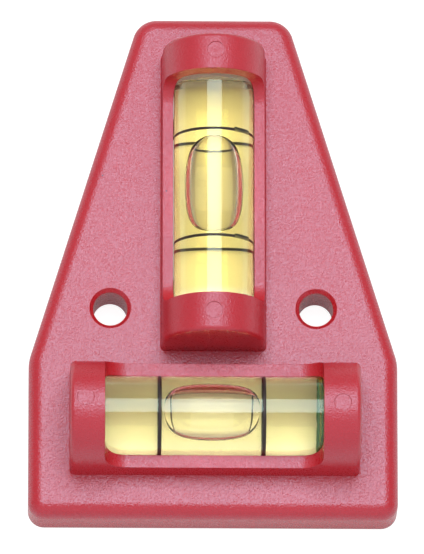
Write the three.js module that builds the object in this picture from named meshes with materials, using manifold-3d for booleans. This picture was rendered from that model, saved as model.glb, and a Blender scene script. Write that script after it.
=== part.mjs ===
// Cross spirit level: one moulded body that holds two tubular vials at right angles, made to be
// screwed flat against a panel. Lengths are in millimetres. The level lies on its back: +Z points
// out of the face that is read, +Y points to the narrow end, and the origin is the middle of the
// back plane.
import * as THREE from "three";
import { mergeVertices } from "three/addons/utils/BufferGeometryUtils.js";
import Module from "manifold-3d";

const wasm = await Module();
wasm.setup();

// Body plate: a rectangle at the wide end that tapers to the narrow end.
const plateLength = 98.4;
const wideEndWidth = 70;
const narrowEndWidth = 28.4;
const straightSideLength = 30.8;
const plateThickness = 9.2;
const faceEdgeRadius = 2.8;
const wideCornerRadius = 3.1;
const bendCornerRadius = 9;
const narrowCornerRadius = 4.6;
// The plate is a shell, open at the back and stiffened by ribs.
const wallThickness = 2;
const deckThickness = 2.2;
const ribThickness = 1.4;
const ribRecess = 0.5;
const outerRibSpacing = 53.2;
const upperRibRise = 22;

// Screw holes, each through a boss as deep as the plate.
const screwHoleDiameter = 6.5;
const screwHoleSpacing = 39.1;
const screwHoleRise = 40.7;
const screwHoleChamfer = 0.7;
const bossWall = 2.2;

// Cradles: two rails beside the window and a hood over each end of the vial.
const vialAxisHeight = 13.2;
const railTopHeight = 13.9;
const hoodCrownHeight = 24.8;
const cradleRootDepth = 1.6;
const hoodEndRadius = 0.9;
const windowFilletRadius = 4.6;
const troughWall = 1.8;
const ejectorMarkDiameter = 3.2;
const ejectorMarkDepth = 0.2;
// A window's first hood is the one at the closed end of the vial, the last is at the plug. The
// spans run across both rails, at their top and where they stand on the deck. An ejector mark
// lies a little off the middle of its hood.
const horizontalWindow = {
  length: 41.2,
  firstHood: 6.5,
  lastHood: 7,
  railSpan: 20.3,
  baseSpan: 20.8,
  firstMark: { along: -0.4, aside: 0.8 },
  lastMark: { along: 0, aside: 0 },
  vialShift: -0.4,
  ringSpacing: 19.7,
  bubbleLength: 18.1,
};
const verticalWindow = {
  length: 44,
  firstHood: 7,
  lastHood: 7.5,
  railSpan: 19.4,
  baseSpan: 19.9,
  firstMark: { along: -0.1, aside: 0.2 },
  lastMark: { along: -0.2, aside: -0.1 },
  vialShift: -0.8,
  ringSpacing: 21,
  bubbleLength: 18.9,
};
const horizontalCradleRise = 18.4;
const verticalCradleRise = 61.8;

// Vials: a clear barrel, closed at one end and plugged at the other.
const vialDiameter = 15.2;
const vialLength = 50.4;
const vialEdgeRadius = 0.6;
const vialClearance = 0.15;
const vialEndClearance = 0.3;
const boreDiameter = 11.8;
const boreCrown = 0.2;
const boreEndWall = 4.2;
const plugLength = 5;
const plugRecess = 0.3;
const plugClearance = 0.15;
const plugChamfer = 0.5;
const plugDimpleDiameter = 3;
const plugDimpleDepth = 0.6;
const liquidClearance = 0.15;
const ringWidth = 0.65;
const ringThickness = 0.25;
const ringGrooveDepth = 0.4;
const ringClearance = 0.1;
const bubbleWidth = 10.2;
const bubbleDepth = 4.8;
const bubbleHeight = 4.3;
const bubbleClearance = 0.2;

// Retainer: a white bar that closes the trough behind the vial and rests on snap lugs.
const retainerSideClearance = 0.3;
const retainerEndClearance = 0.3;
const retainerSaddleWidth = 10;
const retainerGrooveWidth = 7;
const retainerGrooveDepth = 2.2;
const lugHeight = 0.6;
const lugReach = 0.5;
const lugRoot = 0.5;
const lugLength = 4;
const lugSpacing = 32;
const lugClearance = 0.3;

// Facet counts, and the overrun by which a cutting solid passes the faces that it opens.
const cutOverrun = 1;
const cornerSteps = 5;
const edgeSteps = 5;
const archSteps = 20;
const roundSteps = 36;
const bubbleCapSteps = 6;
const bubbleSteps = 20;
const boreStations = 4;
const weldShare = 1e-6;

const wideEndY = -plateLength / 2;
const narrowEndY = plateLength / 2;
const vialRadius = vialDiameter / 2;
const pocketRadius = vialRadius + vialClearance;
const pocketLength = vialLength + 2 * vialEndClearance;
const boreRadius = boreDiameter / 2;
const screwHoleY = wideEndY + screwHoleRise;
const screwHoleX = screwHoleSpacing / 2;

// Solids: a closed geometry becomes a manifold, is cut or joined, and comes back as a geometry.

function toSolid(geometry) {
  const bare = geometry.clone();
  bare.deleteAttribute("normal");
  bare.deleteAttribute("uv");
  const welded = mergeVertices(bare, weldShare * plateLength);
  const corners = welded.index.array;
  const kept = [];
  for (let i = 0; i < corners.length; i += 3) {
    const [a, b, c] = corners.slice(i, i + 3);
    if (a !== b && b !== c && c !== a) kept.push(a, b, c);
  }
  return new wasm.Manifold(
    new wasm.Mesh({
      numProp: 3,
      vertProperties: welded.attributes.position.array,
      triVerts: new Uint32Array(kept),
    }),
  );
}

function toGeometry(solid) {
  const mesh = solid.getMesh();
  return new THREE.BufferGeometry()
    .setAttribute("position", new THREE.BufferAttribute(mesh.vertProperties, 3))
    .setIndex(new THREE.BufferAttribute(mesh.triVerts, 1))
    .toNonIndexed();
}

function join(solids) {
  return solids.reduce((all, solid) => all.add(solid));
}

function box(low, high) {
  const size = high.clone().sub(low);
  const middle = low.clone().add(high).divideScalar(2);
  return toSolid(
    new THREE.BoxGeometry(size.x, size.y, size.z).translate(middle.x, middle.y, middle.z),
  );
}

// Moves each edge of a convex outline inwards by one distance.
function insetOutline(outline, inset) {
  const inward = (from, to) => new THREE.Vector2(from.y - to.y, to.x - from.x).normalize();
  return outline.map((point, i) => {
    const before = inward(outline.at(i - 1), point);
    const after = inward(point, outline[(i + 1) % outline.length]);
    const mitre = before.clone().add(after).divideScalar(1 + before.dot(after));
    return point.clone().addScaledVector(mitre, inset);
  });
}

// Replaces each corner of a convex outline, given anticlockwise, by an arc.
function roundOutline(outline, radii) {
  return outline.flatMap((corner, i) => {
    const incoming = corner.clone().sub(outline.at(i - 1)).normalize();
    const outgoing = outline[(i + 1) % outline.length].clone().sub(corner).normalize();
    const turn = Math.acos(incoming.dot(outgoing));
    const start = Math.atan2(-incoming.x, incoming.y);
    const tangent = radii[i] * Math.tan(turn / 2);
    const centre = corner
      .clone()
      .addScaledVector(incoming, -tangent)
      .add(new THREE.Vector2(-incoming.y, incoming.x).multiplyScalar(radii[i]));
    return Array.from({ length: cornerSteps + 1 }, (_, step) => {
      const angle = start + (turn * step) / cornerSteps;
      return new THREE.Vector2(Math.cos(angle), Math.sin(angle))
        .multiplyScalar(radii[i])
        .add(centre);
    });
  });
}

// Skins convex rings with equal point counts, each anticlockwise seen from the far end.
function loft(rings) {
  const count = rings[0].length;
  const middle = (ring) =>
    ring.reduce((sum, point) => sum.add(point), new THREE.Vector3()).divideScalar(count);
  const points = [...rings.flat(), middle(rings[0]), middle(rings.at(-1))];
  const firstMiddle = points.length - 2;
  const lastMiddle = points.length - 1;
  const lastRing = (rings.length - 1) * count;
  const index = [];
  for (let i = 0; i < count; i++) {
    const next = (i + 1) % count;
    index.push(firstMiddle, next, i);
    index.push(lastMiddle, lastRing + i, lastRing + next);
    for (let ring = 0; ring < lastRing; ring += count) {
      index.push(ring + i, ring + next, ring + count + next);
      index.push(ring + i, ring + count + next, ring + count + i);
    }
  }
  return toSolid(new THREE.BufferGeometry().setFromPoints(points).setIndex(index));
}

// Turns a profile of (distance along the axis, radius) points about the X axis.
function turned(profile) {
  const points = profile.map(([along, radius]) => new THREE.Vector2(radius, along));
  return toSolid(new THREE.LatheGeometry(points, roundSteps).rotateZ(-Math.PI / 2));
}

// Extrudes a shape drawn in the (Y, Z) plane along X.
function alongX(shape, from, to) {
  const basis = new THREE.Matrix4().makeBasis(
    new THREE.Vector3(0, 1, 0),
    new THREE.Vector3(0, 0, 1),
    new THREE.Vector3(1, 0, 0),
  );
  const options = { depth: to - from, bevelEnabled: false, curveSegments: archSteps };
  return toSolid(
    new THREE.ExtrudeGeometry(shape, options).applyMatrix4(basis).translate(from, 0, 0),
  );
}

// Plate

const plateCorners = [
  new THREE.Vector2(-wideEndWidth / 2, wideEndY),
  new THREE.Vector2(wideEndWidth / 2, wideEndY),
  new THREE.Vector2(wideEndWidth / 2, wideEndY + straightSideLength),
  new THREE.Vector2(narrowEndWidth / 2, narrowEndY),
  new THREE.Vector2(-narrowEndWidth / 2, narrowEndY),
  new THREE.Vector2(-wideEndWidth / 2, wideEndY + straightSideLength),
];
const plateRadii = [
  wideCornerRadius,
  wideCornerRadius,
  bendCornerRadius,
  narrowCornerRadius,
  narrowCornerRadius,
  bendCornerRadius,
];

function plateRing(inset, height) {
  const radii = plateRadii.map((radius) => radius - inset);
  return roundOutline(insetOutline(plateCorners, inset), radii).map(
    (point) => new THREE.Vector3(point.x, point.y, height),
  );
}

function platePrism() {
  const rings = [plateRing(0, 0)];
  for (let step = 0; step <= edgeSteps; step++) {
    const angle = ((Math.PI / 2) * step) / edgeSteps;
    const inset = faceEdgeRadius * (1 - Math.cos(angle));
    rings.push(
      plateRing(inset, plateThickness - faceEdgeRadius * (1 - Math.sin(angle))),
    );
  }
  return loft(rings);
}

function plateHollow() {
  return loft([
    plateRing(wallThickness, -cutOverrun),
    plateRing(wallThickness, plateThickness - deckThickness),
  ]);
}

// What is left standing inside the hollow: bosses round the screws and stiffening ribs.

function screwBoss(side) {
  const radius = screwHoleDiameter / 2 + bossWall;
  const height = plateThickness - deckThickness / 2;
  return toSolid(
    new THREE.CylinderGeometry(radius, radius, height, roundSteps)
      .rotateX(Math.PI / 2)
      .translate(side * screwHoleX, screwHoleY, height / 2),
  );
}

function screwHole(side) {
  const radius = screwHoleDiameter / 2;
  const rim = radius + screwHoleChamfer;
  const profile = [
    new THREE.Vector2(0, -cutOverrun),
    new THREE.Vector2(radius, -cutOverrun),
    new THREE.Vector2(radius, plateThickness - screwHoleChamfer),
    new THREE.Vector2(rim, plateThickness),
    new THREE.Vector2(rim, plateThickness + cutOverrun),
    new THREE.Vector2(0, plateThickness + cutOverrun),
  ];
  return toSolid(
    new THREE.LatheGeometry(profile, roundSteps)
      .rotateX(Math.PI / 2)
      .translate(side * screwHoleX, screwHoleY, 0),
  );
}

function crossRib(y) {
  return box(
    new THREE.Vector3(-wideEndWidth / 2, y - ribThickness / 2, ribRecess),
    new THREE.Vector3(wideEndWidth / 2, y + ribThickness / 2, plateThickness - deckThickness / 2),
  );
}

function lengthwiseRib(x) {
  return box(
    new THREE.Vector3(x - ribThickness / 2, wideEndY, ribRecess),
    new THREE.Vector3(x + ribThickness / 2, narrowEndY, plateThickness - deckThickness / 2),
  );
}

function ribs() {
  const columns = [-outerRibSpacing / 2, -screwHoleX, 0, screwHoleX, outerRibSpacing / 2];
  const rows = [screwHoleY, screwHoleY + upperRibRise];
  return join([...columns.map(lengthwiseRib), ...rows.map(crossRib)]);
}

// A cradle is built along X with the middle of its window at the origin of its own frame.

function cradleEnds(window) {
  return {
    first: -window.length / 2 - window.firstHood,
    last: window.length / 2 + window.lastHood,
  };
}

function cradleOutline(window) {
  const base = plateThickness - cradleRootDepth;
  const outline = [
    new THREE.Vector2(-window.baseSpan / 2, plateThickness),
    new THREE.Vector2(-window.baseSpan / 2, base),
    new THREE.Vector2(window.baseSpan / 2, base),
    new THREE.Vector2(window.baseSpan / 2, plateThickness),
  ];
  for (let step = 0; step <= archSteps; step++) {
    const angle = (Math.PI * step) / archSteps;
    outline.push(
      new THREE.Vector2(
        (window.railSpan / 2) * Math.cos(angle),
        railTopHeight + (hoodCrownHeight - railTopHeight) * Math.sin(angle),
      ),
    );
  }
  return outline;
}

function cradleBlank(window) {
  const { first, last } = cradleEnds(window);
  const rings = [];
  const ring = (along, inset) =>
    insetOutline(cradleOutline(window), inset).map(
      (point) => new THREE.Vector3(along, point.x, point.y),
    );
  for (let step = edgeSteps; step >= 0; step--) {
    const angle = ((Math.PI / 2) * step) / edgeSteps;
    rings.push(
      ring(first + hoodEndRadius * (1 - Math.sin(angle)), hoodEndRadius * (1 - Math.cos(angle))),
    );
  }
  for (let step = 0; step <= edgeSteps; step++) {
    const angle = ((Math.PI / 2) * step) / edgeSteps;
    rings.push(
      ring(last - hoodEndRadius * (1 - Math.sin(angle)), hoodEndRadius * (1 - Math.cos(angle))),
    );
  }
  return loft(rings);
}

// The window's side view has rounded lower corners, which leave a fillet from rail to hood.
function windowCut(window) {
  const half = window.length / 2;
  const top = hoodCrownHeight + cutOverrun;
  const filletHeight = railTopHeight + windowFilletRadius;
  const shape = new THREE.Shape()
    .moveTo(half, top)
    .lineTo(-half, top)
    .lineTo(-half, filletHeight)
    .absarc(-half + windowFilletRadius, filletHeight, windowFilletRadius, Math.PI, 1.5 * Math.PI)
    .absarc(half - windowFilletRadius, filletHeight, windowFilletRadius, 1.5 * Math.PI, 2 * Math.PI);
  const width = window.baseSpan + 2 * cutOverrun;
  const options = { depth: width, bevelEnabled: false, curveSegments: edgeSteps };
  return toSolid(
    new THREE.ExtrudeGeometry(shape, options).rotateX(Math.PI / 2).translate(0, width / 2, 0),
  );
}

function ejectorMark(hoodMiddle, mark) {
  const radius = ejectorMarkDiameter / 2;
  const height = ejectorMarkDepth + cutOverrun;
  return toSolid(
    new THREE.CylinderGeometry(radius, radius, height, roundSteps)
      .rotateX(Math.PI / 2)
      .translate(
        hoodMiddle + mark.along,
        mark.aside,
        hoodCrownHeight - ejectorMarkDepth + height / 2,
      ),
  );
}

function cradle(window) {
  const { first, last } = cradleEnds(window);
  return cradleBlank(window)
    .subtract(windowCut(window))
    .subtract(ejectorMark(first + window.firstHood / 2, window.firstMark))
    .subtract(ejectorMark(last - window.lastHood / 2, window.lastMark));
}

// The pocket takes the vial from the back: an arch round the vial with straight sides below.
function pocket(window) {
  const shape = new THREE.Shape()
    .moveTo(-pocketRadius, -cutOverrun)
    .lineTo(pocketRadius, -cutOverrun)
    .lineTo(pocketRadius, vialAxisHeight)
    .absarc(0, vialAxisHeight, pocketRadius, 0, Math.PI);
  return alongX(
    shape,
    window.vialShift - pocketLength / 2,
    window.vialShift + pocketLength / 2,
  );
}

function trough(window) {
  const halfLength = pocketLength / 2 + troughWall;
  const halfWidth = pocketRadius + troughWall;
  return box(
    new THREE.Vector3(window.vialShift - halfLength, -halfWidth, 0),
    new THREE.Vector3(
      window.vialShift + halfLength,
      halfWidth,
      plateThickness - deckThickness / 2,
    ),
  );
}

function lugs(window) {
  return join(
    [-1, 1].flatMap((end) =>
      [-1, 1].map((side) => {
        const along = window.vialShift + (end * lugSpacing) / 2;
        const inner = side * (pocketRadius - lugReach);
        const outer = side * (pocketRadius + lugRoot);
        return box(
          new THREE.Vector3(along - lugLength / 2, Math.min(inner, outer), 0),
          new THREE.Vector3(along + lugLength / 2, Math.max(inner, outer), lugHeight),
        );
      }),
    ),
  );
}

// Both cradles: the horizontal one lies along X, and the vertical one is turned so that its
// first hood is at the narrow end and the plug of its vial faces the wide end.
const stations = {
  horizontal: {
    window: horizontalWindow,
    turn: 0,
    y: wideEndY + horizontalCradleRise,
  },
  vertical: {
    window: verticalWindow,
    turn: -Math.PI / 2,
    y: wideEndY + verticalCradleRise,
  },
};

function placed(solid, { turn, y }) {
  const geometry = toGeometry(solid).rotateZ(turn).translate(0, y, 0);
  return toSolid(geometry);
}

function bodySolid() {
  const all = Object.values(stations);
  const each = (make) => all.map((station) => placed(make(station.window), station));
  const sides = [-1, 1];
  const inside = join([...each(trough), ...sides.map(screwBoss), ribs()]);
  const shell = join([platePrism(), ...each(cradle)]).subtract(plateHollow().subtract(inside));
  return shell
    .subtract(join([...each(pocket), ...sides.map(screwHole)]))
    .add(join(each(lugs)));
}

// Vial pieces, built along X about the vial's own axis and middle.

const closedEnd = -vialLength / 2;
const openEnd = vialLength / 2;
const boreStart = closedEnd + boreEndWall;
const plugFace = openEnd - plugRecess - plugLength;

// The bore is barrel shaped: widest at the middle of its free length, so a bubble finds it.
function boreRadiusAt(along) {
  const middle = (boreStart + plugFace) / 2;
  const share = (along - middle) / ((plugFace - boreStart) / 2);
  return boreRadius - boreCrown * share * share;
}

function borePoints(from, to, clearance) {
  return Array.from({ length: boreStations + 1 }, (_, step) => {
    const along = from + ((to - from) * step) / boreStations;
    return [along, boreRadiusAt(along) - clearance];
  });
}

function barrel(window) {
  const groove = ringWidth / 2 + ringClearance;
  const floor = vialRadius - ringGrooveDepth;
  const rim = vialRadius - vialEdgeRadius;
  const grooves = [-1, 1].flatMap((side) => {
    const along = (side * window.ringSpacing) / 2;
    return [
      [along - groove, vialRadius],
      [along - groove, floor],
      [along + groove, floor],
      [along + groove, vialRadius],
    ];
  });
  const plugBore = boreRadiusAt(plugFace);
  const outside = [
    [closedEnd, 0],
    [closedEnd, rim],
    [closedEnd + vialEdgeRadius, vialRadius],
    ...grooves,
    [openEnd - vialEdgeRadius, vialRadius],
    [openEnd, rim],
  ];
  const inside = [[openEnd, plugBore], ...borePoints(plugFace, boreStart, 0), [boreStart, 0]];
  return turned([...outside, ...inside]);
}

function plug() {
  const radius = boreRadiusAt(plugFace) - plugClearance;
  const end = plugFace + plugLength;
  const dimple = plugDimpleDiameter / 2;
  return turned([
    [plugFace, 0],
    [plugFace, radius - plugChamfer],
    [plugFace + plugChamfer, radius],
    [end, radius],
    [end, dimple],
    [end - plugDimpleDepth, 0],
  ]);
}

// The bubble is a flattened capsule whose top is trimmed to the bore. The same capsule, grown by
// a clearance, cuts the hollow that it lies in, which is open at the top of the liquid.
function bubbleCapsule(window, growth) {
  const radius = bubbleWidth / 2 + growth;
  const flatness = (bubbleDepth / 2 + growth) / radius;
  const straight = window.bubbleLength - bubbleWidth;
  return toSolid(
    new THREE.CapsuleGeometry(radius, straight, bubbleCapSteps, bubbleSteps)
      .rotateZ(Math.PI / 2)
      .scale(1, 1, flatness)
      .translate(0, 0, bubbleHeight),
  );
}

function bubble(window) {
  const radius = boreRadius - liquidClearance - bubbleClearance;
  const half = window.bubbleLength;
  return bubbleCapsule(window, 0).intersect(
    turned([
      [-half, 0],
      [-half, radius],
      [half, radius],
      [half, 0],
    ]),
  );
}

function liquid(window) {
  const from = boreStart + liquidClearance;
  const to = plugFace - liquidClearance;
  const profile = [[from, 0], ...borePoints(from, to, liquidClearance), [to, 0]];
  return turned(profile).subtract(bubbleCapsule(window, bubbleClearance));
}

function ring(window, side) {
  const along = (side * window.ringSpacing) / 2;
  const inner = vialRadius - ringGrooveDepth + ringClearance;
  const outer = inner + ringThickness;
  const from = along - ringWidth / 2;
  const to = along + ringWidth / 2;
  return turned([
    [from, inner],
    [from, outer],
    [to, outer],
    [to, inner],
    [from, inner],
  ]);
}

// The retainer's heights are taken from the vial's axis, downwards.
function retainer() {
  const halfWidth = pocketRadius - retainerSideClearance;
  const saddle = retainerSaddleWidth / 2;
  const shoulder = -Math.sqrt(pocketRadius * pocketRadius - saddle * saddle);
  const bottom = lugHeight + lugClearance - vialAxisHeight;
  const groove = retainerGrooveWidth / 2;
  const saddleAngle = Math.asin(saddle / pocketRadius);
  const shape = new THREE.Shape()
    .moveTo(-halfWidth, bottom)
    .lineTo(-groove, bottom)
    .lineTo(-groove, bottom + retainerGrooveDepth)
    .lineTo(groove, bottom + retainerGrooveDepth)
    .lineTo(groove, bottom)
    .lineTo(halfWidth, bottom)
    .lineTo(halfWidth, shoulder)
    .absarc(
      0,
      0,
      pocketRadius,
      -Math.PI / 2 + saddleAngle,
      -Math.PI / 2 - saddleAngle,
      true,
    )
    .lineTo(-halfWidth, shoulder);
  const halfLength = pocketLength / 2 - retainerEndClearance;
  return alongX(shape, -halfLength, halfLength);
}

// Finishes

function finish(color, roughness, extra = {}) {
  return new THREE.MeshStandardMaterial({ color, roughness, metalness: 0, ...extra });
}

const finishes = {
  body: finish(0xc5343f, 0.45),
  barrel: finish(0xf4f6f0, 0.05, { transparent: true, opacity: 0.35 }),
  plug: finish(0xdfe3d2, 0.2),
  liquid: finish(0xe6d84a, 0.05, { transparent: true, opacity: 0.6 }),
  bubble: finish(0xf7f4e2, 0.05, { transparent: true, opacity: 0.4 }),
  ring: finish(0x23212a, 0.5),
  retainer: finish(0xf2f1ec, 0.5),
};

function piece(name, solid, material) {
  const mesh = new THREE.Mesh(toGeometry(solid), material);
  mesh.name = name;
  return mesh;
}

// Assembly

function vial(prefix, ringNames, { window, turn, y }) {
  const group = new THREE.Group();
  group.rotation.z = turn;
  group.position.set(0, y, vialAxisHeight);
  const pieces = new THREE.Group();
  pieces.position.x = window.vialShift;
  pieces.add(
    piece(`${prefix}_barrel`, barrel(window), finishes.barrel),
    piece(`${prefix}_plug`, plug(), finishes.plug),
    piece(`${prefix}_liquid`, liquid(window), finishes.liquid),
    piece(`${prefix}_bubble`, bubble(window), finishes.bubble),
    piece(`${prefix}_ring_${ringNames[0]}`, ring(window, -1), finishes.ring),
    piece(`${prefix}_ring_${ringNames[1]}`, ring(window, 1), finishes.ring),
    piece(`${prefix}_retainer`, retainer(), finishes.retainer),
  );
  group.add(pieces);
  return group;
}

const level = new THREE.Group();
level.add(
  piece("body", bodySolid(), finishes.body),
  vial("horizontal", ["left", "right"], stations.horizontal),
  vial("vertical", ["upper", "lower"], stations.vertical),
);

export default level;
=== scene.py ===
import math

import bmesh
import bpy
from mathutils import Matrix, Vector, noise


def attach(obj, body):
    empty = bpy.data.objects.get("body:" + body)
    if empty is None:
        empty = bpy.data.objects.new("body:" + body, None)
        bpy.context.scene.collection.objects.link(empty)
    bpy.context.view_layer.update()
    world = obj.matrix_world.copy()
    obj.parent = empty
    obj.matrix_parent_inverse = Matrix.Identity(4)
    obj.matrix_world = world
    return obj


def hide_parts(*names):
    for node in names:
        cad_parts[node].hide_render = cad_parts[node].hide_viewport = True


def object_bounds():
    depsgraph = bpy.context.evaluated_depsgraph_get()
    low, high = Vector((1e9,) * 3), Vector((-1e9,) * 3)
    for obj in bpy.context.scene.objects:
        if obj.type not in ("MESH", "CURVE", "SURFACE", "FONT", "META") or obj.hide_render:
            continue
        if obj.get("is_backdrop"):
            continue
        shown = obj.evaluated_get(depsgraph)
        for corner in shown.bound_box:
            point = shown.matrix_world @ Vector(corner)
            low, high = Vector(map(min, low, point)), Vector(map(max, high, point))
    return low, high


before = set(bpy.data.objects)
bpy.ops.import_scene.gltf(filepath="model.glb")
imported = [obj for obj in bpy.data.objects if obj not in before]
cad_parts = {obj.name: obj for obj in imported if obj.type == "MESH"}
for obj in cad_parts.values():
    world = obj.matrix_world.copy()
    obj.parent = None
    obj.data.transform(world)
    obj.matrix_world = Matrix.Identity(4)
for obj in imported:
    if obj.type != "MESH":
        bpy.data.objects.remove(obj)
cad_low, cad_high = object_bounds()

# Camera
# A long lens on a stand, tipped back from straight above so that the faces toward the wide end
# show, and turned a little to the left.
camera_distance = 2.0
camera_elevation = math.radians(74.5)
camera_azimuth = math.radians(-4.0)
aim_point = Vector((-0.00024, -0.00227, 0.0091))
focal_length_mm = 684.1
sensor_mm = 36.0
toward_narrow_end = Vector((0, 1, 0))

toward_camera = Vector((
    math.sin(camera_azimuth) * math.cos(camera_elevation),
    -math.cos(camera_azimuth) * math.cos(camera_elevation),
    math.sin(camera_elevation),
))
along_view = toward_narrow_end.dot(toward_camera) * toward_camera
camera_up = (toward_narrow_end - along_view).normalized()
camera_right = camera_up.cross(toward_camera)
camera_turn = Matrix((camera_right, camera_up, toward_camera)).transposed().to_4x4()
camera_data = bpy.data.cameras.new("camera")
camera_data.sensor_width = sensor_mm
camera_data.lens = focal_length_mm
camera = bpy.data.objects.new("camera", camera_data)
camera.matrix_world = Matrix.Translation(aim_point + toward_camera * camera_distance) @ camera_turn
bpy.context.scene.collection.objects.link(camera)
bpy.context.scene.camera = camera

# Body
# One injection moulding in red ABS: a tapered plate, hollow and ribbed at the back, with two
# hooded cradles on its face. The tool's spark-eroded surface leaves a fine satin grain.
wide_end_y = cad_low.y
narrow_end_y = cad_high.y
hood_crown_height = cad_high.z
straight_side_length = 0.0308
narrow_end_width = 0.0284
plate_thickness = 0.0092
face_edge_radius = 0.0028
wide_corner_radius = 0.0031
bend_corner_radius = 0.009
narrow_corner_radius = 0.0046
wall_thickness = 0.002
deck_thickness = 0.0022
deck_middle = plate_thickness - deck_thickness / 2
rib_thickness = 0.0014
rib_recess = 0.0005
outer_rib_spacing = 0.0532
upper_rib_rise = 0.022
screw_hole_radius = 0.00325
screw_hole_spacing = 0.0391
screw_hole_rise = 0.0407
screw_hole_y = wide_end_y + screw_hole_rise
screw_hole_chamfer = 0.0007
boss_wall = 0.0022
vial_axis_height = 0.0132
rail_top_height = 0.0139
cradle_root_depth = 0.0016
root_fillet_radius = 0.00015
hood_end_radius = 0.0009
window_fillet_radius = 0.0046
trough_wall = 0.0018
ejector_mark_radius = 0.0016
ejector_mark_depth = 0.0002
pocket_radius = 0.00775
pocket_length = 0.051
lug_height = 0.0006
lug_reach = 0.0005
lug_root = 0.0005
lug_length = 0.004
lug_spacing = 0.032
cut_overrun = 0.001

# A window's first hood is at the closed end of its vial, and its last hood is at the plug. An
# ejector mark is given by how far along and aside it lies from the middle of its hood.
windows = {
    "horizontal": {
        "length": 0.0412,
        "first_hood": 0.0065,
        "last_hood": 0.007,
        "rail_span": 0.0203,
        "base_span": 0.0208,
        "first_mark": (-0.0004, 0.0008),
        "last_mark": (0.0, 0.0),
        "vial_shift": -0.0004,
        "rise": 0.0184,
        "turn": 0.0,
    },
    "vertical": {
        "length": 0.044,
        "first_hood": 0.007,
        "last_hood": 0.0075,
        "rail_span": 0.0194,
        "base_span": 0.0199,
        "first_mark": (-0.0001, 0.0002),
        "last_mark": (-0.0002, -0.0001),
        "vial_shift": -0.0008,
        "rise": 0.0618,
        "turn": -math.pi / 2,
    },
}

plate_corners = [
    Vector((cad_low.x, wide_end_y)),
    Vector((cad_high.x, wide_end_y)),
    Vector((cad_high.x, wide_end_y + straight_side_length)),
    Vector((narrow_end_width / 2, narrow_end_y)),
    Vector((-narrow_end_width / 2, narrow_end_y)),
    Vector((cad_low.x, wide_end_y + straight_side_length)),
]
plate_radii = [
    wide_corner_radius,
    wide_corner_radius,
    bend_corner_radius,
    narrow_corner_radius,
    narrow_corner_radius,
    bend_corner_radius,
]

# Into how many facets each kind of arc is divided.
plate_corner_facets = 14
face_edge_facets = 12
crown_facets = 72
hood_end_facets = 8
root_corner_facets = 6
root_fillet_facets = 5
window_fillet_facets = 12
ejector_mark_facets = 48
pocket_facets = 96
screw_hole_facets = 72
vial_facets = 128


def arc_angles(turn, facets):
    return [turn * facet / facets for facet in range(facets + 1)]


def inset_outline(outline, inset):
    """Moves each edge of a convex outline, given anticlockwise, inwards by one distance."""
    moved = []
    for i, point in enumerate(outline):
        before = point - outline[i - 1]
        after = outline[(i + 1) % len(outline)] - point
        inward_before = Vector((-before.y, before.x)).normalized()
        inward_after = Vector((-after.y, after.x)).normalized()
        mitre = (inward_before + inward_after) / (1 + inward_before.dot(inward_after))
        moved.append(point + mitre * inset)
    return moved


def round_outline(outline, radii, facets):
    """Replaces each corner of a convex outline by an arc."""
    rounded = []
    for i, corner in enumerate(outline):
        incoming = (corner - outline[i - 1]).normalized()
        outgoing = (outline[(i + 1) % len(outline)] - corner).normalized()
        turn = math.acos(incoming.dot(outgoing))
        start = math.atan2(-incoming.x, incoming.y)
        tangent = radii[i] * math.tan(turn / 2)
        centre = corner - incoming * tangent + Vector((-incoming.y, incoming.x)) * radii[i]
        for angle in arc_angles(turn, facets):
            spoke = Vector((math.cos(start + angle), math.sin(start + angle)))
            rounded.append(centre + spoke * radii[i])
    return rounded


def mesh_object(name, points, faces):
    mesh = bpy.data.meshes.new(name)
    mesh.from_pydata([tuple(point) for point in points], [], faces)
    mesh.validate()
    made = bpy.data.objects.new(name, mesh)
    bpy.context.scene.collection.objects.link(made)
    return made


def loft(name, rings):
    """Skins rings of equal count, each anticlockwise seen from the far end, with flat ends."""
    count = len(rings[0])
    points = [point for ring in rings for point in ring]
    last = (len(rings) - 1) * count
    faces = [tuple(reversed(range(count))), tuple(last + i for i in range(count))]
    for start in range(0, last, count):
        for i in range(count):
            j = (i + 1) % count
            faces.append((start + i, start + j, start + count + j, start + count + i))
    return mesh_object(name, points, faces)


def turned(name, profile, facets=vial_facets):
    """Turns (along, radius) points about the X axis. Points with no radius close the ends."""
    points = []
    rows = []
    for along, radius in profile:
        if radius == 0:
            rows.append([len(points)] * facets)
            points.append((along, 0, 0))
            continue
        rows.append(list(range(len(points), len(points) + facets)))
        for facet in range(facets):
            angle = 2 * math.pi * facet / facets
            points.append((along, radius * math.cos(angle), radius * math.sin(angle)))
    faces = []
    is_tube = profile[0][1] > 0
    pairs = list(zip(rows, rows[1:])) + ([(rows[-1], rows[0])] if is_tube else [])
    for near, far in pairs:
        for i in range(facets):
            j = (i + 1) % facets
            corners = [near[i], far[i], far[j], near[j]]
            faces.append(tuple(c for k, c in enumerate(corners) if c != corners[k - 1]))
    return mesh_object(name, points, faces)


def box(name, low, high):
    corners = [(low[0], low[1]), (high[0], low[1]), (high[0], high[1]), (low[0], high[1])]
    return loft(name, [[(x, y, z) for x, y in corners] for z in (low[2], high[2])])


def faced_out(made):
    """Turns a closed mesh's faces outward, so that it cuts and joins as a solid."""
    shape = bmesh.new()
    shape.from_mesh(made.data)
    bmesh.ops.recalc_face_normals(shape, faces=shape.faces)
    if shape.calc_volume(signed=True) < 0:
        bmesh.ops.reverse_faces(shape, faces=shape.faces)
    shape.to_mesh(made.data)
    shape.free()
    return made


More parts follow.
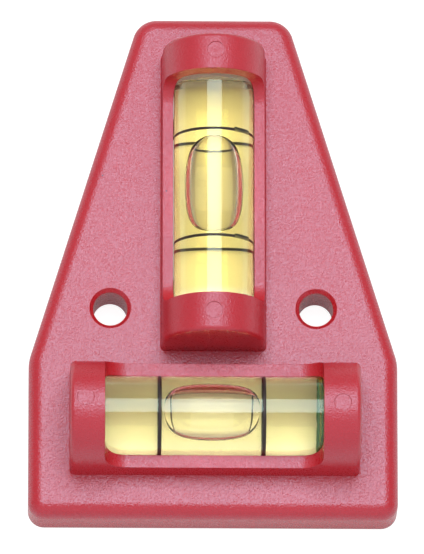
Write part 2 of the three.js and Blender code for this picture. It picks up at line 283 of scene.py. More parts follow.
def combine(target, others, operation):
    """Joins solids to a target, or cuts them from it, and deletes them."""
    faced_out(target)
    for other in others:
        faced_out(other)
        cut = target.modifiers.new("combine", "BOOLEAN")
        cut.operation = operation
        cut.solver = "MANIFOLD"
        cut.object = other
        bpy.context.view_layer.update()
        seen = target.evaluated_get(bpy.context.evaluated_depsgraph_get())
        result = bpy.data.meshes.new_from_object(seen)
        target.modifiers.clear()
        old = target.data
        target.data = result
        bpy.data.meshes.remove(old)
        bpy.data.objects.remove(other)
    return target


def plate_ring(inset, height):
    radii = [radius - inset for radius in plate_radii]
    outline = round_outline(inset_outline(plate_corners, inset), radii, plate_corner_facets)
    return [(point.x, point.y, height) for point in outline]


def plate_prism():
    rings = [plate_ring(0, 0)]
    for angle in arc_angles(math.pi / 2, face_edge_facets):
        inset = face_edge_radius * (1 - math.cos(angle))
        height = plate_thickness - face_edge_radius * (1 - math.sin(angle))
        rings.append(plate_ring(inset, height))
    return loft("body", rings)


def placed(made, window):
    """Sets a solid built along X on its cradle's place and direction."""
    place = Matrix.Translation((0, wide_end_y + window["rise"], 0))
    made.data.transform(place @ Matrix.Rotation(window["turn"], 4, "Z"))
    return made


def cradle_ends(window):
    half = window["length"] / 2
    return -half - window["first_hood"], half + window["last_hood"]


def cradle_outline(window):
    """The cradle's section under its hoods: sunk into the deck, with an arched crown."""
    base = plate_thickness - cradle_root_depth
    half_base = window["base_span"] / 2
    outline = [
        Vector((-half_base, plate_thickness)),
        Vector((-half_base, base)),
        Vector((half_base, base)),
        Vector((half_base, plate_thickness)),
    ]
    for angle in arc_angles(math.pi, crown_facets):
        outline.append(Vector((
            window["rail_span"] / 2 * math.cos(angle),
            rail_top_height + (hood_crown_height - rail_top_height) * math.sin(angle),
        )))
    return outline


def cradle_blank(window):
    """The cradle before its cuts, drawn in at both ends by a small round edge."""
    first, last = cradle_ends(window)
    angles = arc_angles(math.pi / 2, hood_end_facets)
    stations = [
        (first + hood_end_radius * (1 - math.sin(angle)), angle) for angle in reversed(angles)
    ]
    stations += [(last - hood_end_radius * (1 - math.sin(angle)), angle) for angle in angles]
    outline = cradle_outline(window)
    return loft("cradle", [
        [
            (along, point.x, point.y)
            for point in inset_outline(outline, hood_end_radius * (1 - math.cos(angle)))
        ]
        for along, angle in stations
    ])


def root_fillet(window):
    """A small concave skirt that runs round the cradle where it stands on the deck."""
    first, last = cradle_ends(window)
    half = window["base_span"] / 2
    corners = [
        Vector((first, -half)),
        Vector((last, -half)),
        Vector((last, half)),
        Vector((first, half)),
    ]
    spread = [(root_fillet_radius, deck_middle)]
    for angle in arc_angles(math.pi / 2, root_fillet_facets):
        spread.append((
            root_fillet_radius * (1 - math.sin(angle)),
            plate_thickness + root_fillet_radius * (1 - math.cos(angle)),
        ))
    rings = []
    for grown, height in spread:
        radii = [hood_end_radius + grown] * len(corners)
        outline = round_outline(inset_outline(corners, -grown), radii, root_corner_facets)
        rings.append([(point.x, point.y, height) for point in outline])
    return loft("root_fillet", rings)


def window_cut(window):
    """The window seen from the side: rounded lower corners leave a fillet from rail to hood."""
    half = window["length"] / 2
    centre = half - window_fillet_radius
    height = rail_top_height + window_fillet_radius
    outline = []
    for side, start in ((-1, math.pi), (1, 1.5 * math.pi)):
        for angle in arc_angles(math.pi / 2, window_fillet_facets):
            outline.append((
                side * centre + window_fillet_radius * math.cos(start + angle),
                height + window_fillet_radius * math.sin(start + angle),
            ))
    outline.append((half, hood_crown_height + cut_overrun))
    outline.append((-half, hood_crown_height + cut_overrun))
    reach = window["base_span"] / 2 + cut_overrun
    return loft("window", [[(x, y, z) for x, z in outline] for y in (reach, -reach)])


def ejector_mark(hood_middle, mark):
    """The shallow round print of an ejector pin in a hood's crown."""
    circle = [
        (
            hood_middle + mark[0] + ejector_mark_radius * math.cos(angle),
            mark[1] + ejector_mark_radius * math.sin(angle),
        )
        for angle in arc_angles(2 * math.pi, ejector_mark_facets)[:-1]
    ]
    heights = (hood_crown_height - ejector_mark_depth, hood_crown_height + cut_overrun)
    return loft("ejector_mark", [[(x, y, z) for x, y in circle] for z in heights])


def cradle(window):
    first, last = cradle_ends(window)
    cuts = [
        window_cut(window),
        ejector_mark(first + window["first_hood"] / 2, window["first_mark"]),
        ejector_mark(last - window["last_hood"] / 2, window["last_mark"]),
    ]
    return placed(combine(cradle_blank(window), cuts, "DIFFERENCE"), window)


def pocket(window):
    """An arch round the vial with straight sides, open at the back, where the vial goes in."""
    outline = [(-pocket_radius, -cut_overrun), (pocket_radius, -cut_overrun)]
    for angle in arc_angles(math.pi, pocket_facets):
        outline.append((
            pocket_radius * math.cos(angle),
            vial_axis_height + pocket_radius * math.sin(angle),
        ))
    ends = (window["vial_shift"] - pocket_length / 2, window["vial_shift"] + pocket_length / 2)
    return placed(loft("pocket", [[(x, y, z) for y, z in outline] for x in ends]), window)


def trough(window):
    """The block of plastic left round a pocket where the back is hollowed."""
    half_length = pocket_length / 2 + trough_wall
    half_width = pocket_radius + trough_wall
    low = (window["vial_shift"] - half_length, -half_width, 0)
    high = (window["vial_shift"] + half_length, half_width, deck_middle)
    return placed(box("trough", low, high), window)


def lugs(window):
    """Four small snap lugs at the back of a pocket, which carry the retainer."""
    made = []
    for end in (-1, 1):
        along = window["vial_shift"] + end * lug_spacing / 2
        for side in (-1, 1):
            reach = sorted((side * (pocket_radius - lug_reach), side * (pocket_radius + lug_root)))
            low = (along - lug_length / 2, reach[0], 0)
            high = (along + lug_length / 2, reach[1], lug_height)
            made.append(placed(box("lug", low, high), window))
    return made


def standing_at_screw(name, profile, side):
    """Turns (height, radius) points about the upright line of one screw."""
    made = turned(name, profile, screw_hole_facets)
    place = Matrix.Translation((side * screw_hole_spacing / 2, screw_hole_y, 0))
    made.data.transform(place @ Matrix.Rotation(-math.pi / 2, 4, "Y"))
    return made


def screw_boss(side):
    radius = screw_hole_radius + boss_wall
    profile = [(0, 0), (0, radius), (deck_middle, radius), (deck_middle, 0)]
    return standing_at_screw("boss", profile, side)


def screw_hole(side):
    rim = screw_hole_radius + screw_hole_chamfer
    return standing_at_screw("screw_hole", [
        (-cut_overrun, 0),
        (-cut_overrun, screw_hole_radius),
        (plate_thickness - screw_hole_chamfer, screw_hole_radius),
        (plate_thickness, rim),
        (plate_thickness + cut_overrun, rim),
        (plate_thickness + cut_overrun, 0),
    ], side)


left_in_hollow = [trough(window) for window in windows.values()]
left_in_hollow += [screw_boss(side) for side in (-1, 1)]
for spacing in (-outer_rib_spacing, -screw_hole_spacing, 0, screw_hole_spacing, outer_rib_spacing):
    low = (spacing / 2 - rib_thickness / 2, wide_end_y, rib_recess)
    high = (spacing / 2 + rib_thickness / 2, narrow_end_y, deck_middle)
    left_in_hollow.append(box("rib", low, high))
for rib_y in (screw_hole_y, screw_hole_y + upper_rib_rise):
    low = (cad_low.x, rib_y - rib_thickness / 2, rib_recess)
    high = (cad_high.x, rib_y + rib_thickness / 2, deck_middle)
    left_in_hollow.append(box("rib", low, high))
hollow = loft("hollow", [
    plate_ring(wall_thickness, -cut_overrun),
    plate_ring(wall_thickness, plate_thickness - deck_thickness),
])
combine(hollow, left_in_hollow, "DIFFERENCE")
body = plate_prism()
combine(body, [placed(root_fillet(window), window) for window in windows.values()], "UNION")
combine(body, [cradle(window) for window in windows.values()], "UNION")
combine(body, [hollow], "DIFFERENCE")
combine(body, [pocket(window) for window in windows.values()], "DIFFERENCE")
combine(body, [screw_hole(side) for side in (-1, 1)], "DIFFERENCE")
combine(body, [lug for window in windows.values() for lug in lugs(window)], "UNION")

same_point_distance = 2e-7
large_face_weight = 100
body_crease_degrees = 28


def smooth(made, crease_degrees):
    """Shades faces smooth, with a crease wherever two of them meet at more than an angle.

    The larger of two faces keeps its own direction, so flat and straight faces stay even.
    """
    shape = bmesh.new()
    shape.from_mesh(made.data)
    bmesh.ops.remove_doubles(shape, verts=shape.verts, dist=same_point_distance)
    for face in shape.faces:
        face.smooth = True
    for edge in shape.edges:
        edge.smooth = edge.calc_face_angle(math.pi) < math.radians(crease_degrees)
    shape.to_mesh(made.data)
    shape.free()
    even = made.modifiers.new("even_shading", "WEIGHTED_NORMAL")
    even.keep_sharp = True
    even.weight = large_face_weight


def feed(socket, value):
    """Links a node's socket to another node's output, or sets it to a plain value."""
    if isinstance(value, bpy.types.NodeSocket):
        socket.id_data.links.new(value, socket)
    else:
        socket.default_value = value


def add_node(tree, kind, sockets=(), **settings):
    """Adds a node with its settings, and feeds its sockets by name or number."""
    made = tree.nodes.new("ShaderNode" + kind)
    for name, value in settings.items():
        setattr(made, name, value)
    for key, value in dict(sockets).items():
        feed(made.inputs[key], value)
    return made


def object_place(tree):
    return add_node(tree, "TexCoord").outputs["Object"]


def cloud(tree, place, scale, detail, roughness=0.5):
    """Soft random noise, with so many cells to the metre."""
    sockets = {"Vector": place, "Scale": scale, "Detail": detail, "Roughness": roughness}
    return add_node(tree, "TexNoise", sockets).outputs["Fac"]


def ramp(tree, value, given, wanted, **settings):
    """Turns a range that is given into the one that is wanted."""
    return add_node(tree, "MapRange", {
        "Value": value,
        "From Min": given[0],
        "From Max": given[1],
        "To Min": wanted[0],
        "To Max": wanted[1],
    }, **settings).outputs["Result"]


def colour_between(tree, share, first, second):
    """Goes from one colour to another as the share goes from 0 to 1."""
    made = add_node(tree, "Mix", {0: share, 6: first, 7: second}, data_type="RGBA")
    return made.outputs[2]


def maths(tree, operation, first, second):
    return add_node(tree, "Math", {0: first, 1: second}, operation=operation).outputs["Value"]


def new_material(name):
    """A material whose nodes are still to be made."""
    material = bpy.data.materials.new(name)
    material.use_nodes = True
    material.node_tree.nodes.clear()
    return material, material.node_tree


abs_ior = 1.6
abs_gloss_level = 0.86
# The cool tint on the gloss is painted light: it stands in for the soft box's bluish light, not
# for the plastic.
abs_painted_light_tint = (0.5, 0.78, 1.0, 1)
deeper_red = (0.48, 0.007, 0.012, 1)
lighter_red = (0.54, 0.010, 0.017, 1)
mottle_scale = 120.0
speck_colour = (0.10, 0.012, 0.016, 1)
speck_scale = 330.0
speck_radius = 0.055
speck_share = 0.05
grain_scale = 2700.0
grain_strength = 1.0
grain_depth = 0.00011
# The grain's raised points are painted a lighter red: partly the grain's own tone, partly painted
# light catching the points.
grain_peak_painted_light_colour = (0.64, 0.03, 0.045, 1)
grain_peak_range = (0.38, 0.68)
grain_peak_share = (0.0, 0.3)
grain_range = (0.3, 0.7)
grain_roughness = (0.1, -0.12)
roughness_to_narrow_end = (0.25, 0.355)
roughness_up_to_rails = (0.0, 0.07)
worn_edge_radius = 0.00018
worn_edge_samples = 4


def red_plastic():
    """Satin red ABS: a fine sparked grain, soft colour mottling and a few dark specks.

    It is a little rougher toward the narrow end and on the cradles. The grain's raised points are
    painted a lighter red, partly grain tone and partly painted light, and the gloss carries a
    painted cool tint for the light's colour.
    """
    material, tree = new_material("red_plastic")
    place = object_place(tree)
    mottle = cloud(tree, place, mottle_scale, detail=3.0, roughness=0.6)
    speck = add_node(tree, "TexVoronoi", {"Vector": place, "Scale": speck_scale})
    dot = maths(tree, "LESS_THAN", speck.outputs["Distance"], speck_radius)
    chance = add_node(tree, "SeparateColor", {"Color": speck.outputs["Color"]})
    rare = maths(tree, "LESS_THAN", chance.outputs["Red"], speck_share)
    rare_dot = maths(tree, "MULTIPLY", dot, rare)
    mottled = colour_between(tree, mottle, deeper_red, lighter_red)
    speckled = colour_between(tree, rare_dot, mottled, speck_colour)
    grain = cloud(tree, place, grain_scale, detail=2.0, roughness=0.6)
    # Painted light on the grain: its raised points are made a lighter red.
    painted_peaks = ramp(tree, grain, grain_peak_range, grain_peak_share)
    axes = add_node(tree, "SeparateXYZ", {"Vector": place})
    lengthwise = ramp(
        tree, axes.outputs["Y"], (wide_end_y, narrow_end_y), roughness_to_narrow_end
    )
    upward = ramp(
        tree, axes.outputs["Z"], (plate_thickness, rail_top_height), roughness_up_to_rails
    )
    rough = maths(tree, "ADD", lengthwise, upward)
    edge = add_node(tree, "Bevel", {"Radius": worn_edge_radius}, samples=worn_edge_samples)
    bump = add_node(tree, "Bump", {
        "Height": grain,
        "Strength": grain_strength,
        "Distance": grain_depth,
        "Normal": edge.outputs["Normal"],
    })
    shader = add_node(tree, "BsdfPrincipled", {
        "Base Color": colour_between(tree, painted_peaks, speckled, grain_peak_painted_light_colour),
        "Roughness": maths(tree, "ADD", rough, ramp(tree, grain, grain_range, grain_roughness)),
        "IOR": abs_ior,
        "Specular IOR Level": abs_gloss_level,
        # painted cool tint on the gloss, for the colour of the light
        "Specular Tint": abs_painted_light_tint,
        "Normal": bump.outputs["Normal"],
    })
    add_node(tree, "OutputMaterial", {"Surface": shader.outputs["BSDF"]})
    return material


smooth(body, body_crease_degrees)
body.data.materials.clear()
body.data.materials.append(red_plastic())
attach(body, "housing")
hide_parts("body")

# Retainers
# A plain white polystyrene bar behind each vial. It closes the trough from the back, rests on
# the four snap lugs, and gives the liquid its pale background.
polystyrene_ior = 1.5
scatter_share = 0.7
scatter_reach = 0.005
scatter_by_colour = (1.0, 1.0, 0.9)
warmer_white = (0.95, 0.94, 0.90, 1)
cooler_white = (0.97, 0.965, 0.94, 1)
white_mottle_scale = 260.0
white_mottle_strength = 0.2
white_mottle_depth = 0.00002
white_roughness = (0.45, 0.6)
whole_range = (0.0, 1.0)


def white_plastic():
    """Matt white polystyrene with a faint warm mottling."""
    material, tree = new_material("white_plastic")
    mottle = cloud(tree, object_place(tree), white_mottle_scale, detail=3.0)
    bump = add_node(tree, "Bump", {
        "Height": mottle,
        "Strength": white_mottle_strength,
        "Distance": white_mottle_depth,
    })
    shader = add_node(tree, "BsdfPrincipled", {
        "Base Color": colour_between(tree, mottle, warmer_white, cooler_white),
        "Roughness": ramp(tree, mottle, whole_range, white_roughness),
        "IOR": polystyrene_ior,
        "Subsurface Weight": scatter_share,
        "Subsurface Radius": scatter_by_colour,
        "Subsurface Scale": scatter_reach,
        "Normal": bump.outputs["Normal"],
    })
    add_node(tree, "OutputMaterial", {"Surface": shader.outputs["BSDF"]})
    return material


white = white_plastic()
for window_name in windows:
    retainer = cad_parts[window_name + "_retainer"]
    retainer.data.materials.clear()
    retainer.data.materials.append(white)

# Barrels
# Each vial is a thick-walled barrel moulded in clear acrylic, closed at one end and open at the
# other for filling. It is polished, but for a lightly frosted strip along its back, and it is
# pushed up into its pocket from behind.
vial_radius = 0.0076
vial_length = 0.0504
vial_edge_radius = 0.0006
vial_edge_facets = 6
bore_radius = 0.0059
bore_crown = 0.0002
bore_end_wall = 0.0042
bore_stations = 24
plug_length = 0.005
plug_recess = 0.0003
frosted_depth = 0.0035
closed_end = -vial_length / 2
open_end = vial_length / 2
bore_start = closed_end + bore_end_wall
plug_face = open_end - plug_recess - plug_length
bore_middle = (bore_start + plug_face) / 2
barrel_crease_degrees = 40


def bore_radius_at(along):
    share = (along - bore_middle) / ((plug_face - bore_start) / 2)
    return bore_radius - bore_crown * share * share


def bore_points(start, end, clearance):
    """Points along the barrel-shaped bore, which is widest halfway along its free length."""
    places = [
        start + (end - start) * station / bore_stations for station in range(bore_stations + 1)
    ]
    return [(along, bore_radius_at(along) - clearance) for along in places]


def on_vial(made, window):
    """Sets a piece built along X about the vial's middle into its cradle."""
    made.data.transform(Matrix.Translation((window["vial_shift"], 0, vial_axis_height)))
    return placed(made, window)


def barrel(window_name):
    rim = vial_radius - vial_edge_radius
    corner = [
        (vial_edge_radius * (1 - math.cos(angle)), rim + vial_edge_radius * math.sin(angle))
        for angle in arc_angles(math.pi / 2, vial_edge_facets)
    ]
    profile = [(closed_end, 0)]
    profile += [(closed_end + depth, radius) for depth, radius in corner]
    profile += [(open_end - depth, radius) for depth, radius in reversed(corner)]
    profile += [(open_end, bore_radius_at(plug_face))]
    profile += bore_points(plug_face, bore_start, 0)
    profile += [(bore_start, 0)]
    made = turned(window_name + "_barrel_clear", profile)
    return faced_out(on_vial(made, windows[window_name]))


acrylic_ior = 1.49
liquid_ior = 1.38
# The cool tint on the acrylic's gloss is painted light, standing in for the soft box's cool light.
acrylic_painted_light_tint = (0.7, 1.0, 0.97, 1)
acrylic_tint = (0.985, 0.99, 0.97, 1)
acrylic_clear = (1.0, 1.0, 0.99, 1)
ripple_scale = 180.0
polish_coat = 0.4
polish_coat_ior = 1.6
polish_coat_roughness = 0.02
polished_roughness = (0.0, 0.02)
frosted_roughness = (0.08, 0.14)


def clear_acrylic(name, coat, roughness):
    """Acrylic bends the light, and its moulding ripple breaks the gloss a little."""
    material, tree = new_material(name)
    ripple = cloud(tree, object_place(tree), ripple_scale, detail=2.0)
    shader = add_node(tree, "BsdfPrincipled", {
        "Base Color": colour_between(tree, ripple, acrylic_tint, acrylic_clear),
        "Roughness": ramp(tree, ripple, whole_range, roughness),
        "IOR": acrylic_ior,
        # painted cool tint on the gloss, for the colour of the light
        "Specular Tint": acrylic_painted_light_tint,
        "Transmission Weight": 1.0,
        "Coat Weight": coat,
        "Coat Roughness": polish_coat_roughness,
        "Coat IOR": polish_coat_ior,
    })
    add_node(tree, "OutputMaterial", {"Surface": shader.outputs["BSDF"]})
    return material


def smooth_glass(name, ior):
    """A perfectly smooth boundary that bends light by one ratio."""
    material, tree = new_material(name)
    shader = add_node(tree, "BsdfGlass", {"IOR": ior, "Roughness": 0.0})
    add_node(tree, "OutputMaterial", {"Surface": shader.outputs["BSDF"]})
    return material


# Acrylic against the liquid, which bends light a little less, so that edge barely shows.
barrel_materials = [
    clear_acrylic("clear_acrylic", polish_coat, polished_roughness),
    smooth_glass("wetted_bore", acrylic_ior / liquid_ior),
    clear_acrylic("frosted_acrylic", 0.0, frosted_roughness),
]
for window_name, window in windows.items():
    made = barrel(window_name)
    for material in barrel_materials:
        made.data.materials.append(material)
    axis = Vector((0, wide_end_y + window["rise"], vial_axis_height))
    along = Matrix.Rotation(window["turn"], 3, "Z") @ Vector((1, 0, 0))
    middle = axis + along * window["vial_shift"]
    for face in made.data.polygons:
        spot = face.center - middle
        reach = spot.dot(along)
        off_axis = (spot - along * reach).length
        inside = closed_end + vial_edge_radius < reach < open_end - vial_edge_radius / 2
        if inside and off_axis < bore_radius + vial_edge_radius / 2:
            face.material_index = 1
        elif spot.z < -frosted_depth:
            face.material_index = 2
    smooth(made, barrel_crease_degrees)
    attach(made, "housing")
    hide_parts(window_name + "_barrel")

# Plugs
# A clear acrylic plug is welded into the open end of each barrel after filling. The weld leaves
# a ragged green-tinged collar round the front of the plug.
plug_clearance = 0.00015
plug_chamfer = 0.0005
plug_crease_degrees = 30
dimple_radius = 0.0015
dimple_depth = 0.0006
collar_start = {"horizontal": 0.0, "vertical": 0.003}
collar_bands = ((0.0, 0.00035, "dark"), (0.00035, 0.0008, "olive"), (0.0008, 0.0016, "dark"))
collar_thickness = 0.00012
collar_ragged = 0.00016
collar_crease_degrees = 50
ragged_scale = 900.0
ragged_fine_share = 0.5


def plug(window_name):
    radius = bore_radius_at(plug_face) - plug_clearance
    end = plug_face + plug_length
    made = turned(window_name + "_plug_welded", [
        (plug_face, 0),
        (plug_face, radius - plug_chamfer),
        (plug_face + plug_chamfer, radius),
        (end, radius),
        (end, dimple_radius),
        (end - dimple_depth, 0),
    ])
    return faced_out(on_vial(made, windows[window_name]))


def collar(window_name, start, end, ragged):
    """A short tube of weld round the plug, whose front edge can be ragged."""
    outer = bore_radius_at(plug_face) - plug_clearance / 4
    inner = outer - collar_thickness
    front = plug_face + collar_start[window_name] + start
    made = turned(window_name + "_plug_collar", [
        (front, inner),
        (front, outer),
        (front + end - start, outer),
        (front + end - start, inner),
    ])
    if ragged:
        for vertex in made.data.vertices:
            if vertex.co.x < front + ragged / 2:
                around = Vector((0, vertex.co.y, vertex.co.z)) * ragged_scale
                fine = ragged_fine_share * noise.noise(around * 2)
                vertex.co.x += ragged * (noise.noise(around) + fine)
    return faced_out(on_vial(made, windows[window_name]))


def welded_acrylic():
    """The plug's own acrylic, wetted and so unseen."""
    material, tree = new_material("welded_acrylic")
    shader = add_node(tree, "BsdfTransparent")
    add_node(tree, "OutputMaterial", {"Surface": shader.outputs["BSDF"]})
    return material


weld_ior = 1.5
weld_roughness = 0.5
weld_streak_scale = 1500.0
weld_streak_light = 1.8
weld_clear_colour = (0.75, 0.85, 0.6, 1)


def weld_stain(name, colour, strength):
    """Weld that lets some light by and stains the rest green, in streaks."""
    material, tree = new_material(name)
    streak = cloud(tree, object_place(tree), weld_streak_scale, detail=3.0)
    lighter = tuple(min(1, part * weld_streak_light) for part in colour)
    stain = add_node(tree, "BsdfPrincipled", {
        "Base Color": colour_between(tree, streak, colour, lighter),
        "Roughness": weld_roughness,
        "IOR": weld_ior,
    })
    clear = add_node(tree, "BsdfTransparent", {"Color": weld_clear_colour})
    both = add_node(tree, "MixShader", {
        0: strength,
        1: clear.outputs["BSDF"],
        2: stain.outputs["BSDF"],
    })
    add_node(tree, "OutputMaterial", {"Surface": both.outputs["Shader"]})
    return material


stains = {
    "dark": weld_stain("weld_dark", colour=(0.06, 0.20, 0.05, 1), strength=0.7),
    "olive": weld_stain("weld_olive", colour=(0.34, 0.36, 0.05, 1), strength=0.35),
}
welded = welded_acrylic()
for window_name in windows:
    made = plug(window_name)
    made.data.materials.append(welded)
    smooth(made, plug_crease_degrees)
    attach(made, "housing")
    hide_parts(window_name + "_plug")
    for index, (start, end, stain) in enumerate(collar_bands):
        band = collar(window_name, start, end, collar_ragged if index == 0 else 0)
        band.name = window_name + "_plug_collar_" + str(index)
        band.data.materials.append(stains[stain])
        smooth(band, collar_crease_degrees)
        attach(band, "housing")
        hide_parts(window_name + "_plug")

# Liquid
# A light yellow-green spirit that fills the bore. It takes the blue out of the light that passes
# through, so it deepens in colour with the length of the way.
liquid_clearance = 0.00002
liquid_crease_degrees = 30
dye_colour = (0.97, 0.86, 0.10, 1)
# The vertical vial's dye is set denser than the horizontal one's: painted shade, standing in for
# the deeper yellow under its upper hood.
dye_and_shade_density = {"horizontal": 56.0, "vertical": 76.0}


def level_liquid(name, density):
    """A clear liquid that takes up blue, more or less by its density."""
    material, tree = new_material(name)
    shader = add_node(tree, "BsdfTransparent")
    volume = add_node(tree, "VolumeAbsorption", {"Color": dye_colour, "Density": density})
    add_node(tree, "OutputMaterial", {
        "Surface": shader.outputs["BSDF"],
        "Volume": volume.outputs["Volume"],
    })
    return material


for window_name, window in windows.items():
    start = bore_start + liquid_clearance
    end = plug_face - liquid_clearance
    profile = [(start, 0)] + bore_points(start, end, liquid_clearance) + [(end, 0)]
    made = turned(window_name + "_liquid_fill", profile)
    faced_out(on_vial(made, window))
    # The vertical vial's denser dye is painted shade.
    made.data.materials.append(
        level_liquid(window_name + "_level_liquid", dye_and_shade_density[window_name])
    )
    smooth(made, liquid_crease_degrees)
    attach(made, "housing")
    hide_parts(window_name + "_liquid")

# Bubbles
# The air left in each vial. It floats against the top of the bore as a long flattened drop with
# round ends, and it shows by the light that its skin turns back into the liquid.
bubble_length = {"horizontal": 0.0181, "vertical": 0.0189}
bubble_half_width = 0.0064
bubble_depth = 0.0046
bubble_skin = 0.00004
bubble_end_gap = 0.00035
bubble_facets = 96
bubble_stations = 56
bubble_crease_degrees = 60
plan_roundness = 2.3
floor_roundness = 2.3
section_roundness = 3.6


def drawn_in(share, roundness):
    """How much of its full size a rounded form has at a share of the way to its end."""
    return (1 - abs(share) ** roundness) ** (1 / roundness)


def bubble_section(share, half_length):
    """The air's outline across the vial: the bore above, a level floor, and sides drawn in.

    The bore narrows toward its ends, so the roof leaves room to float right up to either end.
    """
    travel = (plug_face - bore_start) / 2 - bubble_end_gap - half_length
    roof = bore_radius_at(bore_middle + travel + abs(share) * half_length) - bubble_skin
    depth = bubble_depth * drawn_in(share, floor_roundness)
    half_width = bubble_half_width * drawn_in(share, plan_roundness)
    middle = roof - depth / 2
    outline = []
    for facet in range(bubble_facets):
        angle = 2 * math.pi * facet / bubble_facets
        across, up = math.cos(angle), math.sin(angle)
        to_bore = math.sqrt(roof ** 2 - (middle * across) ** 2) - middle * up
        limits = (1 / to_bore, abs(across) / half_width, max(0, -up) / (depth / 2))
        reach = sum(limit ** section_roundness for limit in limits) ** (-1 / section_roundness)
        outline.append((reach * across, middle + reach * up))
    return outline


def bubble(window_name):
    half_length = bubble_length[window_name] / 2
    rings = []
    for station in range(1, bubble_stations):
        share = -math.cos(math.pi * station / bubble_stations)
        x = share * half_length
        rings.append([(x, y, z) for y, z in bubble_section(share, half_length)])
    made = loft(window_name + "_bubble_air", rings)
    return faced_out(on_vial(made, windows[window_name]))


# The skin between liquid and air, seen from the liquid: steep looks are turned back.
air = smooth_glass("air_bubble", 1 / liquid_ior)
for window_name in windows:
    made = bubble(window_name)
    made.data.materials.append(air)
    smooth(made, bubble_crease_degrees)
    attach(made, window_name + "_bubble")
    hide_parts(window_name + "_bubble")

# Rings
# The four black reading bands, set into the barrels' outsides a bubble's length apart. Those of
# the vertical vial are printed finer, and their print overlaps for a short way at the front,
# where it is thicker and hatched.
ring_names = {"horizontal": ("left", "right"), "vertical": ("upper", "lower")}
ring_spacing = {"horizontal": 0.0197, "vertical": 0.021}
ring_width = {"horizontal": 0.00065, "vertical": 0.00048}
ring_inner = 0.0072
ring_outer = 0.00763
ring_edge = 0.00008
ring_crease_degrees = 60
lap_outer = 0.00766
lap_start_angle = math.radians(31)
lap_end_angle = math.radians(59)
lap_before_middle = 0.00045
lap_past_middle = 0.0003
lap_facets = 40
lap_ragged = 0.00012
lap_ragged_step = 0.9
lap_ragged_scale = 1000
ink_ior = 1.5
ink_black = (0.016, 0.008, 0.008, 1)
ink_thin = (0.036, 0.020, 0.018, 1)
ink_streak_scale = 900.0
ink_roughness = (0.3, 0.5)
hatch_black = (0.012, 0.010, 0.008, 1)
hatch_yellow = (0.30, 0.26, 0.10, 1)
hatch_scale = 300.0
hatch_waver = 0.5
hatch_roughness = 0.45


def black_band():
    """Gloss black print that is thinner in streaks."""
    material, tree = new_material("black_band")
    streak = cloud(tree, object_place(tree), ink_streak_scale, detail=3.0)
    shader = add_node(tree, "BsdfPrincipled", {
        "Base Color": colour_between(tree, streak, ink_black, ink_thin),
        "Roughness": ramp(tree, streak, whole_range, ink_roughness),
        "IOR": ink_ior,
    })
    add_node(tree, "OutputMaterial", {"Surface": shader.outputs["BSDF"]})
    return material


def lap(name, middle):
    """The overlap of a band's print: a thin strip along an arc, with a ragged edge."""
    rings = []
    for facet in range(lap_facets + 1):
        angle = lap_start_angle + (lap_end_angle - lap_start_angle) * facet / lap_facets
        seed = Vector((facet * lap_ragged_step, middle * lap_ragged_scale, 0))
        near = middle - lap_before_middle + lap_ragged * noise.noise(seed)
        far = middle + lap_past_middle
        section = ((near, ring_inner), (far, ring_inner), (far, lap_outer), (near, lap_outer))
        across, up = math.sin(angle), math.cos(angle)
        rings.append([(x, radius * across, radius * up) for x, radius in section])
    return loft(name, rings)


def hatched_band():
    """The same black where two layers of print cross, with the screen's slanted hatch in it."""
    material, tree = new_material("hatched_band")
    hatch = add_node(tree, "TexWave", {
        "Vector": object_place(tree),
        "Scale": hatch_scale,
        "Distortion": hatch_waver,
    }, bands_direction="DIAGONAL")
    shader = add_node(tree, "BsdfPrincipled", {
        "Base Color": colour_between(tree, hatch.outputs["Fac"], hatch_black, hatch_yellow),
        "Roughness": hatch_roughness,
        "IOR": ink_ior,
    })
    add_node(tree, "OutputMaterial", {"Surface": shader.outputs["BSDF"]})
    return material


black = black_band()
hatched = hatched_band()
for window_name, window in windows.items():
    for side, end_name in zip((-1, 1), ring_names[window_name]):
        near = side * ring_spacing[window_name] / 2 - ring_width[window_name] / 2
        far = near + ring_width[window_name]
        node_name = window_name + "_ring_" + end_name
        made = turned(node_name + "_band", [
            (near, ring_inner),
            (near, ring_outer - ring_edge),
            (near + ring_edge, ring_outer),
            (far - ring_edge, ring_outer),
            (far, ring_outer - ring_edge),
            (far, ring_inner),
        ])
        faced_out(on_vial(made, window))
        made.data.materials.append(black)
        bands = [made]
        if window_name == "vertical":
            overlap = faced_out(on_vial(lap(node_name + "_lap", (near + far) / 2), window))
            overlap.data.materials.append(hatched)
            bands.append(overlap)
        for band in bands:
            smooth(band, ring_crease_degrees)
            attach(band, "housing")
            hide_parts(node_name)

# Floor and light
# A sheet of white paper under the object, one large soft box above the narrow end, and a pale
# room that is brighter overhead and on the wide end's side.
floor_size = 3.0
floor_drop = 0.00002
paper_white = (0.8, 0.8, 0.8, 1)
lifted_white = (0.3, 0.3, 0.3, 1)
lift_strength = 0.9
lift_in_gloss = 0.3
soft_box_distance = 1.2
soft_box_tilt = math.radians(17.0)
soft_box_side = math.radians(1.0)
soft_box_half_angle = math.radians(19.5)
soft_box_radiance = 4.5
overhead_range = (0.05, 0.5)
overhead_light = (0.36, 0.56)
wide_side_range = (-0.05, -0.6)
wide_side_light = (0.0, 0.45)
light_bounces = 24
clear_layers = 48


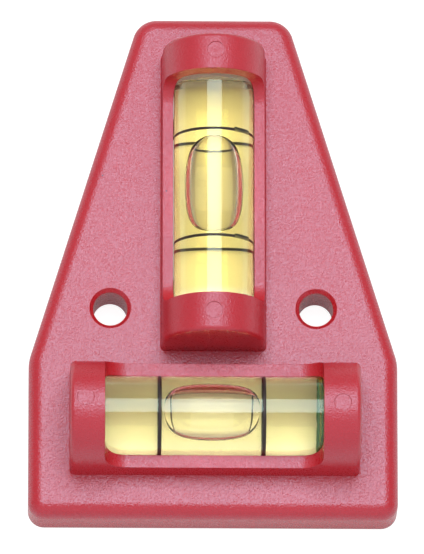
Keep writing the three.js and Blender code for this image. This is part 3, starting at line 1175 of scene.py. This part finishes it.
def white_sheet():
    """White paper that keeps its shadow.

    Seen straight, in gloss or through a clear part it is lifted to white, less so in gloss.
    """
    material, tree = new_material("white_sheet")
    path = add_node(tree, "LightPath")
    in_gloss = maths(tree, "MULTIPLY", path.outputs["Is Glossy Ray"], lift_in_gloss)
    seen = maths(tree, "MAXIMUM", path.outputs["Is Camera Ray"], in_gloss)
    shown = maths(tree, "MAXIMUM", seen, path.outputs["Is Transmission Ray"])
    paper = add_node(tree, "BsdfDiffuse", {"Color": paper_white})
    pale = add_node(tree, "BsdfDiffuse", {"Color": lifted_white})
    lift = add_node(tree, "Emission", {"Strength": lift_strength})
    lifted = add_node(tree, "AddShader", {0: pale.outputs["BSDF"], 1: lift.outputs["Emission"]})
    both = add_node(tree, "MixShader", {
        0: shown,
        1: paper.outputs["BSDF"],
        2: lifted.outputs["Shader"],
    })
    add_node(tree, "OutputMaterial", {"Surface": both.outputs["Shader"]})
    return material


half_floor = floor_size / 2
floor = mesh_object(
    "floor",
    [
        (-half_floor, -half_floor, 0),
        (half_floor, -half_floor, 0),
        (half_floor, half_floor, 0),
        (-half_floor, half_floor, 0),
    ],
    [(0, 1, 2, 3)],
)
floor.location.z = -floor_drop
floor.data.materials.append(white_sheet())
floor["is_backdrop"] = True

soft_box_data = bpy.data.lights.new("soft_box", "AREA")
soft_box_data.shape = "SQUARE"
soft_box_data.size = 2 * soft_box_distance * math.tan(soft_box_half_angle)
soft_box_data.energy = soft_box_radiance * math.pi * soft_box_data.size ** 2
soft_box = bpy.data.objects.new("soft_box", soft_box_data)
toward_light = Vector((
    math.sin(soft_box_side),
    math.sin(soft_box_tilt),
    math.sqrt(1 - math.sin(soft_box_side) ** 2 - math.sin(soft_box_tilt) ** 2),
))
soft_box.location = aim_point + toward_light * soft_box_distance
soft_box.rotation_euler = toward_light.to_track_quat("Z", "Y").to_euler()
soft_box.visible_camera = False
bpy.context.scene.collection.objects.link(soft_box)

room = bpy.data.worlds.new("room")
room.use_nodes = True
tree = room.node_tree
tree.nodes.clear()
direction = add_node(tree, "TexCoord").outputs["Generated"]
split = add_node(tree, "SeparateXYZ", {"Vector": direction})
overhead = ramp(
    tree, split.outputs["Z"], overhead_range, overhead_light, interpolation_type="SMOOTHSTEP"
)
wide_side = ramp(
    tree, split.outputs["Y"], wide_side_range, wide_side_light, interpolation_type="SMOOTHSTEP"
)
room_light = add_node(tree, "Background", {"Strength": maths(tree, "ADD", overhead, wide_side)})
room_white = add_node(tree, "Background")
room_seen = add_node(tree, "MixShader", {
    0: add_node(tree, "LightPath").outputs["Is Camera Ray"],
    1: room_light.outputs["Background"],
    2: room_white.outputs["Background"],
})
add_node(tree, "OutputWorld", {"Surface": room_seen.outputs["Shader"]})

scene = bpy.context.scene
scene.world = room
scene.view_settings.view_transform = "Standard"
scene.cycles.max_bounces = light_bounces
scene.cycles.transmission_bounces = light_bounces
scene.cycles.transparent_max_bounces = clear_layers
scene.cycles.blur_glossy = 0.0

# Sizes
# The dressed model's box, found once all pieces are in; the imported model's box was found before
# dressing.
low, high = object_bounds()
